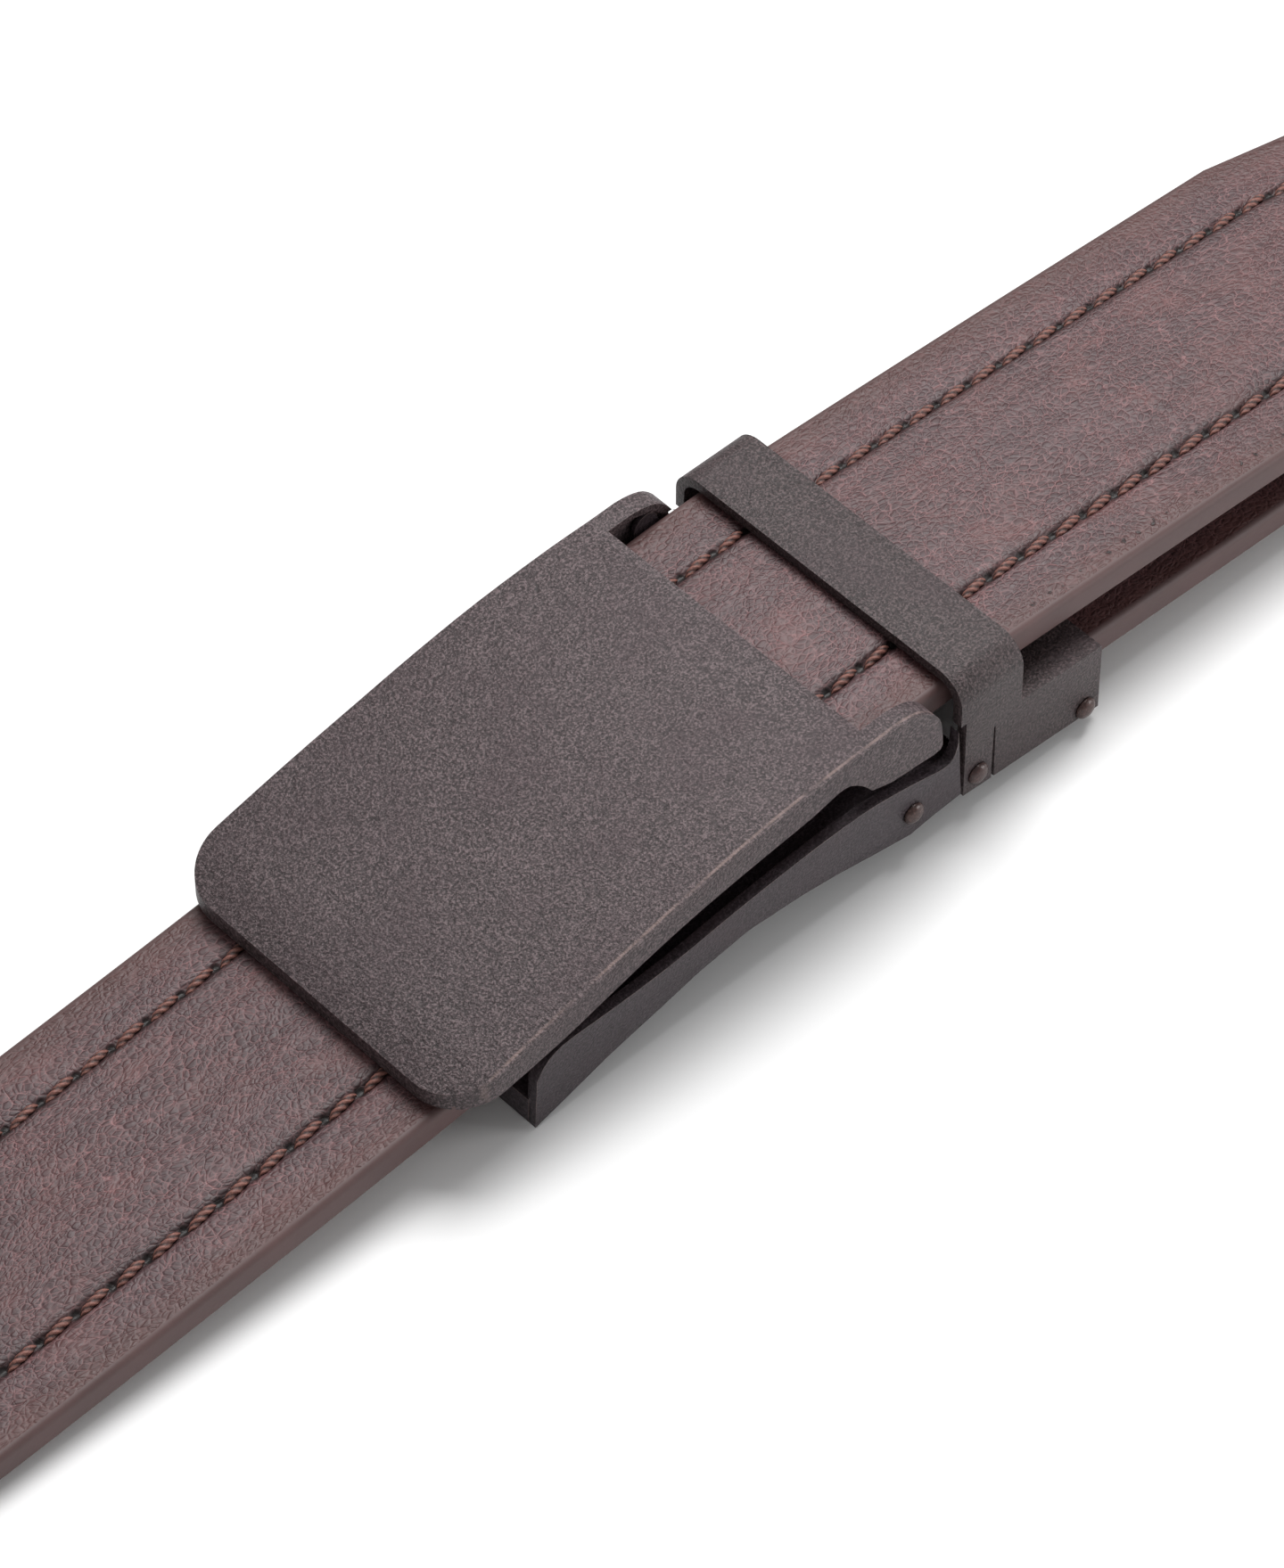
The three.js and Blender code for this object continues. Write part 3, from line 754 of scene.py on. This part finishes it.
@dataclass
class Stitching:
    """Two rows of twisted thread along the strap, each stitch dipping into its needle holes.

    Lengths are in millimetres.
    """

    pitch: float = 4.4
    offset: float = 10.3
    length: float = 4.1
    thickness: float = 0.44
    sunk: float = 0.36
    dip: float = 0.5
    slant: float = 0.3
    strands: int = 3
    groove: float = 0.16
    twist: float = 2.0
    blunt_end: float = 0.12
    rings: int = 11
    sides: int = 12
    stop_before_tip: float = 14.0
    map_shift: float = 60.0

    def stitch(self, route: StrapRoute, place: Station, side: int) -> list[tuple[np.ndarray, float]]:
        """Models one stitch.

        Args:
            route: the strap that is sewn.
            place: the station at the stitch's middle.
            side: 1 for the row at the far edge, -1 for the near one.

        Returns:
            Its points in metres, ring by ring, each with its turn round the strands.
        """
        row = side * self.offset * place.half_width / (route.width / 2)
        made = []
        for i in range(self.rings):
            u = 2 * i / (self.rings - 1) - 1
            bulge = max(self.blunt_end, math.sqrt(max(0.0, 1 - u * u)))
            rise = route.thickness / 2 - self.sunk - self.dip * u**4
            middle = place.centre + place.along * (u * self.length / 2) + place.normal * rise
            middle = middle + place.across * (row + u * self.slant)
            for j in range(self.sides):
                angle = 2 * math.pi * j / self.sides
                turn = self.strands * j / self.sides - self.twist * u
                lobe = self.thickness * bulge * (1 - self.groove * math.cos(2 * math.pi * turn))
                ring = place.across * math.cos(angle) + place.normal * math.sin(angle)
                made.append(((middle + ring * lobe) * MM, turn))
        return made

    def build(self, route: StrapRoute, side: int, name: str) -> bpy.types.Object:
        """Models one row.

        Args:
            route: the strap that is sewn.
            side: 1 for the row at the far edge, -1 for the near one.
            name: the piece's name.

        Returns:
            The row as one mesh.
        """
        count = int((route.stations[-1].travelled - self.stop_before_tip) / self.pitch)
        points, faces, turns = [], [], []
        for k in range(count):
            start = len(points)
            for point, turn in self.stitch(route, route.at((k + 0.5) * self.pitch), side):
                points.append(point)
                turns.append(turn)
            for i in range(self.rings - 1):
                for j in range(self.sides):
                    a = start + i * self.sides + j
                    b = start + i * self.sides + (j + 1) % self.sides
                    faces.append((a, b, b + self.sides, a + self.sides))
            top = start + (self.rings - 1) * self.sides
            faces.append(tuple(start + j for j in reversed(range(self.sides))))
            faces.append(tuple(top + j for j in range(self.sides)))
        piece = mesh_piece(name, points, faces)
        layer = piece.data.uv_layers.new(name="twist")
        for polygon in piece.data.polygons:
            known = [turns[v] for v in polygon.vertices]
            for loop, turn in zip(polygon.loop_indices, known):
                near = turn + self.strands if max(known) - turn > self.strands / 2 else turn
                layer.data[loop].uv = (0.5, near + self.map_shift)
        return piece


def new_object(name: str, data: bpy.types.ID) -> bpy.types.Object:
    """Makes an object at the origin and links it to the scene."""
    made = bpy.data.objects.new(name, data)
    bpy.context.scene.collection.objects.link(made)
    return made


def mesh_piece(name: str, points: list, faces: list) -> bpy.types.Object:
    """Makes a smooth mesh object at the origin, its faces pointing outwards."""
    mesh = bpy.data.meshes.new(name)
    mesh.from_pydata([tuple(p) for p in points], [], faces)
    work = bmesh.new()
    work.from_mesh(mesh)
    bmesh.ops.recalc_face_normals(work, faces=work.faces)
    work.to_mesh(mesh)
    work.free()
    mesh.polygons.foreach_set("use_smooth", [True] * len(mesh.polygons))
    return new_object(name, mesh)


@dataclass
class Strap:
    """The leather strap: raised centre panel, two sunk seams, lower margins and rounded painted edges.

    Lengths are in millimetres. Marks are the places across one half where the section has a point.
    """

    route: StrapRoute
    seams: Stitching
    edge_radius: float = 0.75
    edge_steps: int = 4
    edge_zone: float = 2.0
    margin_drop: float = 0.22
    margin_softness: float = 0.25
    seam_depth: float = 0.5
    seam_width: float = 0.5
    crown: float = 0.12
    marks: tuple = (0.0, 3.0, 6.0, 8.2, 9.0, 12.0, 13.2, 15.0)
    seam_marks: tuple = (-0.9, -0.65, -0.4, -0.2, 0.0, 0.2, 0.4, 0.65, 0.9)
    last_mark: float = 1.0
    lining_marks: tuple = (9.0, 0.0, -9.0)

    def face_height(self, a: float) -> float:
        """Height of the grain side over the strap's middle, a millimetres across at full width."""
        out = abs(a) - self.seams.offset
        margin = self.margin_drop / (1 + math.exp(-out / self.margin_softness))
        seam = self.seam_depth * math.exp(-((out / self.seam_width) ** 2))
        panel = self.crown * min(1.0, (a / self.seams.offset) ** 2)
        return self.route.thickness / 2 - panel - margin - seam

    def section(self) -> list[tuple[float, float, Part]]:
        """Points round the section: place across and height in millimetres, and the surface's part."""
        half, radius = self.route.width / 2, self.edge_radius
        inner = half - radius
        marks = {*self.marks, inner, inner - self.last_mark}
        marks |= {self.seams.offset + mark for mark in self.seam_marks}
        top = self.face_height(inner) - radius
        low = radius - self.route.thickness / 2
        turn = [math.pi / 2 * i / self.edge_steps for i in range(1, self.edge_steps + 1)]
        flank = [(inner + radius * math.sin(t), top + radius * math.cos(t)) for t in turn]
        flank.append((half, (top + low) / 2))
        flank += [(inner + radius * math.cos(t), low - radius * math.sin(t)) for t in (0.0, *turn)]
        points = [(a, self.face_height(a), Part.GRAIN) for a in sorted(marks | {-m for m in marks})]
        points += [(a, z, Part.EDGE) for a, z in flank]
        points += [(a, -self.route.thickness / 2, Part.LINING) for a in self.lining_marks]
        points += [(-a, z, Part.EDGE) for a, z in reversed(flank)]
        return points

    def across(self, a: float, place: Station) -> float:
        """Place across the strap where it narrows: the edges keep their form and the rest shrinks."""
        half = self.route.width / 2
        if abs(a) > half - self.edge_zone:
            return math.copysign(place.half_width - (half - abs(a)), a)
        return a * place.half_width / half

    def build(self) -> bpy.types.Object:
        """Models the strap along its route, with a UV map in metres.

        Returns:
            The strap, with slots for grain, edge and lining.
        """
        section, stations = self.section(), self.route.stations
        count = len(section)
        points = [
            (place.centre + place.across * self.across(a, place) + place.normal * height) * MM
            for place in stations for a, height, _ in section
        ]
        steps = [
            b[0] - a[0] if a[2] == b[2] == Part.GRAIN else math.dist(a[:2], b[:2])
            for a, b in zip(section, section[1:] + section[:1])
        ]
        round_map = (section[0][0] + np.cumsum([0.0, *steps])) * MM
        made = []
        for i, (here, there) in enumerate(zip(stations, stations[1:])):
            u0, u1 = here.travelled * MM, there.travelled * MM
            for k in range(count):
                a, b = i * count + k, i * count + (k + 1) % count
                part = max(section[k][2], section[(k + 1) % count][2])
                v0, v1 = round_map[k], round_map[k + 1]
                made.append(((a, b, b + count, a + count), part, ((u0, v0), (u0, v1), (u1, v1), (u1, v0))))
        last = len(points) - count
        for cap in (tuple(reversed(range(count))), tuple(range(last, len(points)))):
            made.append((cap, Part.EDGE, ((0.0, 0.0),) * count))
        piece = mesh_piece("strap_leather", points, [face for face, _, _ in made])
        layer = piece.data.uv_layers.new(name="lay")
        known = {frozenset(face): (part, dict(zip(face, corners))) for face, part, corners in made}
        for polygon in piece.data.polygons:
            part, corner_of = known[frozenset(polygon.vertices)]
            polygon.material_index = int(part)
            for loop in polygon.loop_indices:
                layer.data[loop].uv = corner_of[piece.data.loops[loop].vertex_index]
        return piece


# The buckle


def deselect() -> None:
    """Clears the selection, because operators act on all that is selected."""
    bpy.ops.object.select_all(action="DESELECT")


def make_active(piece: bpy.types.Object) -> None:
    """Selects one piece alone."""
    deselect()
    piece.select_set(True)
    bpy.context.view_layer.objects.active = piece


def dress(piece: bpy.types.Object, slot: Slot | None, *materials: bpy.types.Material) -> None:
    """Gives a piece its materials.

    Args:
        piece: a new piece, or one of the frame's nodes.
        slot: not used; the record's slot, or None where the node keeps its own.
        materials: one for each of the piece's material slots.
    """
    if piece.data.materials:
        piece.data.materials.clear()
    for material in materials:
        piece.data.materials.append(material)


@dataclass
class StampedPiece:
    """A sheet metal piece with its edges rounded, in place of the sharp one in the frame."""

    node: str
    name: str
    body: Body
    edge_radius: float
    coat: PowderCoat
    edge: HighlightedWornEdge
    segments: int = 3
    sharp: float = 32.0
    merge_within: float = 0.002
    flat_within: float = 0.15

    def build(self, frame: dict) -> bpy.types.Object:
        """Copies the frame's solid, merges it, coats it and rounds its edges.


        Returns:
            The finished piece.
        """
        mesh = frame["nodes"][self.node].data.copy()
        mesh.materials.clear()
        piece = new_object(self.name, mesh)
        dress(piece, Slot.COAT, self.coat.build(), self.edge.build())
        make_active(piece)
        bpy.ops.object.mode_set(mode="EDIT")
        bpy.ops.mesh.select_all(action="SELECT")
        bpy.ops.mesh.remove_doubles(threshold=self.merge_within * MM)
        bpy.ops.mesh.dissolve_limited(angle_limit=math.radians(self.flat_within))
        bpy.ops.object.mode_set(mode="OBJECT")
        bevel = piece.modifiers.new("edges", "BEVEL")
        bevel.width = self.edge_radius * MM
        bevel.segments = self.segments
        bevel.limit_method = "ANGLE"
        bevel.angle_limit = math.radians(self.sharp)
        bevel.use_clamp_overlap = True
        bevel.miter_outer = "MITER_ARC"
        bevel.material = 1  # the second material: the edge with painted highlight and wear
        bpy.ops.object.modifier_apply(modifier=bevel.name)
        bpy.ops.object.shade_smooth_by_angle(angle=math.radians(self.sharp))
        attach(piece, self.body.value)
        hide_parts(self.node)
        return piece


@dataclass
class DomedPin:
    """A pin right across the buckle with a domed head at each end."""

    node: str
    shaft_radius: float = 0.9
    head_radius: float = 1.25
    head_height: float = 0.7
    shaft_sides: int = 24
    dome_segments: int = 28
    dome_rings: int = 16
    sharp: float = 40.0

    def build(self) -> bpy.types.Object:
        """Models the pin from a shaft and two flattened domes.

        Returns:
            The finished pin.
        """
        low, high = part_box(self.node)
        x, z = (low[0] + high[0]) / 2, (low[2] + high[2]) / 2
        reach = (high[1] - low[1]) / 2
        middle = (low[1] + high[1]) / 2
        seat = reach - self.head_height * MM
        deselect()
        bpy.ops.mesh.primitive_cylinder_add(
            vertices=self.shaft_sides, radius=self.shaft_radius * MM, depth=2 * seat,
            location=(x, middle, z), rotation=(math.pi / 2, 0, 0),
        )
        shaft = bpy.context.object
        parts = [shaft]
        for side in (-1, 1):
            bpy.ops.mesh.primitive_uv_sphere_add(
                segments=self.dome_segments, ring_count=self.dome_rings, radius=self.head_radius * MM,
                location=(x, middle + side * seat, z), rotation=(math.pi / 2, 0, 0),
            )
            head = bpy.context.object
            bpy.ops.object.mode_set(mode="EDIT")
            bpy.ops.mesh.select_all(action="SELECT")
            cut = {"plane_co": (x, middle + side * seat, z), "plane_no": (0, side, 0)}
            bpy.ops.mesh.bisect(**cut, use_fill=True, clear_inner=True)
            bpy.ops.object.mode_set(mode="OBJECT")
            head.scale = (1.0, 1.0, self.head_height / self.head_radius)
            parts.append(head)
        deselect()
        for part in parts:
            part.select_set(True)
        bpy.context.view_layer.objects.active = shaft
        bpy.ops.object.join()
        bpy.ops.object.transform_apply(location=True, rotation=True, scale=True)
        bpy.ops.object.shade_smooth_by_angle(angle=math.radians(self.sharp))
        shaft.name = f"{self.node}_domed"
        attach(shaft, Body.BELT.value)
        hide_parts(self.node)
        return shaft


@dataclass
class Buckle:
    """Cover plate, frame, keeper with clamp, pins, pawl and jaw."""

    shells: tuple = (
        StampedPiece(
            "cover_plate", "cover_plate_coated", Body.COVER, 0.28,
            PlateCoat("plate_coat"), HighlightedWornEdge("plate_edge"),
        ),
        StampedPiece(
            "base_frame", "base_frame_coated", Body.BELT, 0.14,
            PowderCoat(
                "wall_coat", base=srgb(30, 24, 26), grain=srgb(78, 68, 73), roughness=0.46, depth=0.1
            ),
            HighlightedWornEdge("wall_edge"),
        ),
        StampedPiece(
            "keeper_clamp", "keeper_clamp_coated", Body.BELT, 0.3,
            PowderCoat("keeper_coat", base=srgb(20, 15, 15), grain=srgb(88, 75, 76), depth=0.13),
            HighlightedWornEdge("keeper_edge", dull=srgb(52, 43, 43), bright=srgb(98, 84, 82)),
        ),
    )
    pins: tuple = (DomedPin("frame_pin"), DomedPin("keeper_pin"), DomedPin("clamp_pin"))
    pin_coat: PowderCoat = PowderCoat(
        "pin_coat", base=srgb(46, 31, 29), grain=srgb(88, 66, 62), contrast=0.5, roughness=0.26, depth=0.03
    )
    hidden: tuple = ("pawl", "clamp_jaw")
    hidden_coat: PowderCoat = PowderCoat("hidden_coat", contrast=0.3, depth=0.03)

    def build(self, frame: dict) -> None:
        """Models and dresses the whole buckle.
        """
        for shell in self.shells:
            piece = shell.build(frame)
            log.info("%s: %d faces", piece.name, len(piece.data.polygons))
        dull, red = self.hidden_coat.build(), self.pin_coat.build()
        for pin in self.pins:
            piece = pin.build()
            dress(piece, Slot.RIVET, red)
            log.info("%s", piece.name)
        for node in self.hidden:
            dress(frame["nodes"][node], None, dull)
        dress(frame["nodes"]["ratchet_track"], None, MouldedPlastic().build())


# The studio


class Softbox(NamedTuple):
    """A square lamp: its name, place and side in metres, and power in watts."""

    name: str
    place: tuple[float, float, float]
    size: float
    power: float


def aimed(name: str, data: bpy.types.ID, place: Vector, look: Vector) -> bpy.types.Object:
    """Places a camera or lamp so that it looks along a direction."""
    made = new_object(name, data)
    made.location = place
    made.rotation_euler = look.to_track_quat("-Z", "Y").to_euler()
    return made


@dataclass
class Studio:
    """White floor, soft lights and the camera at the photograph's angle.

    Lengths are in metres, but the sensor's height is in millimetres, as the lens is.
    """

    azimuth: float = math.radians(-43.13)
    elevation: float = math.radians(49.578)
    focal_pixels: float = 8052.2
    image_height: int = 1759
    distance: float = 0.790
    target: tuple = (0.0275, -0.0276, -0.0611)
    sensor: float = 36.0
    clip_start: float = 0.01
    floor_size: float = 6.0
    floor_drop: float = 0.0002
    floor_tone: float = 0.86
    lamps: tuple = (
        Softbox("key_softbox", (0.38, 0.17, 0.88), 0.6, 12.4),
        Softbox("fill_softbox", (0.6, -0.6, 0.2), 0.35, 2.4),
    )
    lit_point: tuple = (0.01, -0.06, 0.01)
    ambient: float = 0.38

    def camera(self) -> None:
        """Places the camera, fitted to the photograph's lines."""
        a, e = self.azimuth, self.elevation
        look = Vector((-math.sin(a) * math.cos(e), math.cos(a) * math.cos(e), -math.sin(e)))
        data = bpy.data.cameras.new("photo_view")
        data.sensor_fit = "VERTICAL"
        data.sensor_height = self.sensor
        data.lens = self.focal_pixels / self.image_height * self.sensor
        data.clip_start = self.clip_start
        place = Vector(self.target) - look * self.distance
        bpy.context.scene.camera = aimed("photo_view", data, place, look)

    def floor(self) -> None:
        """Lays the white floor."""
        deselect()
        bpy.ops.mesh.primitive_plane_add(size=self.floor_size, location=(0, 0, -self.floor_drop))
        floor = bpy.context.object
        floor.name = "studio_floor"
        paint = Paint("white_floor")
        paint.set(Base_Color=(*(self.floor_tone,) * 3, 1.0), Roughness=0.8, Specular_IOR_Level=0.1)
        floor.data.materials.append(paint.material)

    def light(self, lamp: Softbox) -> None:
        """Hangs one softbox aimed at the buckle."""
        data = bpy.data.lights.new(lamp.name, "AREA")
        data.shape = "SQUARE"
        data.size = lamp.size
        data.energy = lamp.power
        place = Vector(lamp.place)
        aimed(lamp.name, data, place, Vector(self.lit_point) - place)

    def build(self) -> None:
        """Sets up camera, floor, lights and world."""
        self.camera()
        self.floor()
        for lamp in self.lamps:
            self.light(lamp)
        world = bpy.data.worlds.new("studio")
        world.use_nodes = True
        background = world.node_tree.nodes["Background"].inputs
        background["Color"].default_value = (1, 1, 1, 1)
        background["Strength"].default_value = self.ambient
        bpy.context.scene.world = world
        bpy.context.scene.view_settings.view_transform = "Standard"


def main() -> None:
    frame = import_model()
    Studio().build()
    low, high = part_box("ratchet_track")
    route = StrapRoute()
    route.build((low[1] + high[1]) / 2 / MM)
    seams = Stitching()
    strap = Strap(route, seams).build()
    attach(strap, Body.BELT.value)
    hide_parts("strap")
    tail_start = max(s.travelled for s in route.stations if s.centre[0] < PRICKS_FROM_X) * MM
    grain = GrainedLeather().build(seams, tail_start)
    lining = GrainedLeather("lining_leather", cell=srgb(84, 60, 54), crease=srgb(112, 84, 76), holes=False)
    dress(strap, Slot.LEATHER, grain, PaintedEdge().build(), lining.build(seams, tail_start))
    log.info("strap: %d faces, %.0f mm long", len(strap.data.polygons), route.stations[-1].travelled)
    thread = WaxedThread().build()
    for side, name in ((-1, "stitch_row_near"), (1, "stitch_row_far")):
        row = seams.build(route, side, name)
        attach(row, Body.BELT.value)
        dress(row, Slot.LEATHER, thread)
        log.info("%s: %d faces", name, len(row.data.polygons))
    Buckle().build(frame)


if __name__ == "__main__":
    main()
